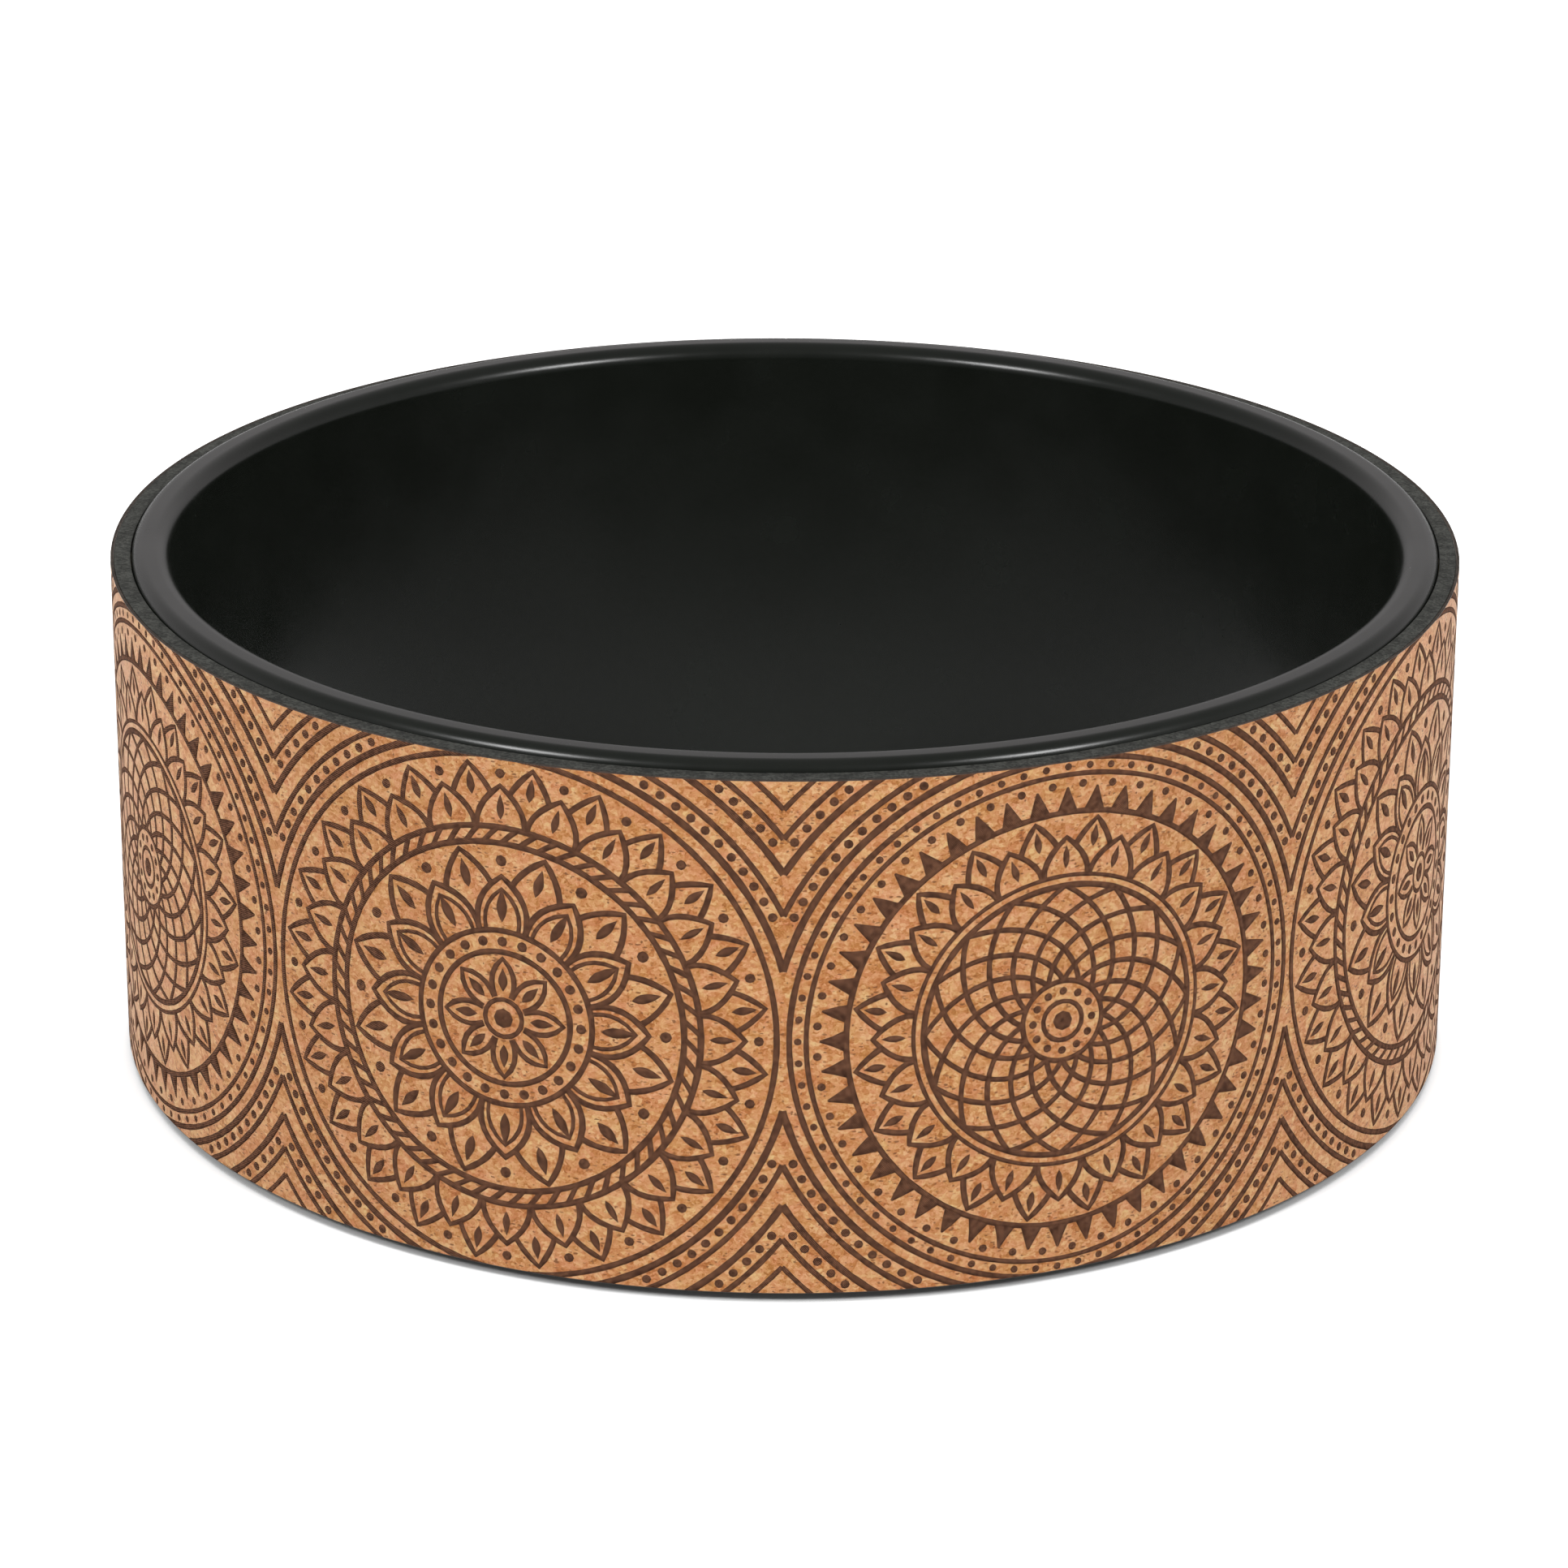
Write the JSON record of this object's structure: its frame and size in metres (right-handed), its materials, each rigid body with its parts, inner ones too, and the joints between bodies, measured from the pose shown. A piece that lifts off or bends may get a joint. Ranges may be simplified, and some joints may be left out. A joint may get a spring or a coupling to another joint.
{
  "type": "yoga wheel",
  "caption": "Wide hoop for yoga and back stretching: a smooth plastic ring wrapped in foam with an engraved cork skin, to roll on or lean over.",
  "frame": {"origin": "on the wheel's axis, in the plane of the lower rim that the wheel lies on", "axes": "+Z along the wheel's axis and up as it lies, -Y towards the viewer of the picture, +Y towards the padding's seam"},
  "size_m": [0.33, 0.33, 0.13],
  "materials": {
    "core_plastic": "satin black moulded plastic",
    "foam": "cut edge of closed-cell foam",
    "cork": "sanded agglomerated cork with a burnt line engraving",
    "glue": "dried contact adhesive"
  },
  "bodies": {
    "root": {"core_ring": "core_plastic", "core_glue": "glue", "foam_wrap": "foam", "skin_glue": "glue", "cork_skin": "cork"}
  },
  "joints": []
}
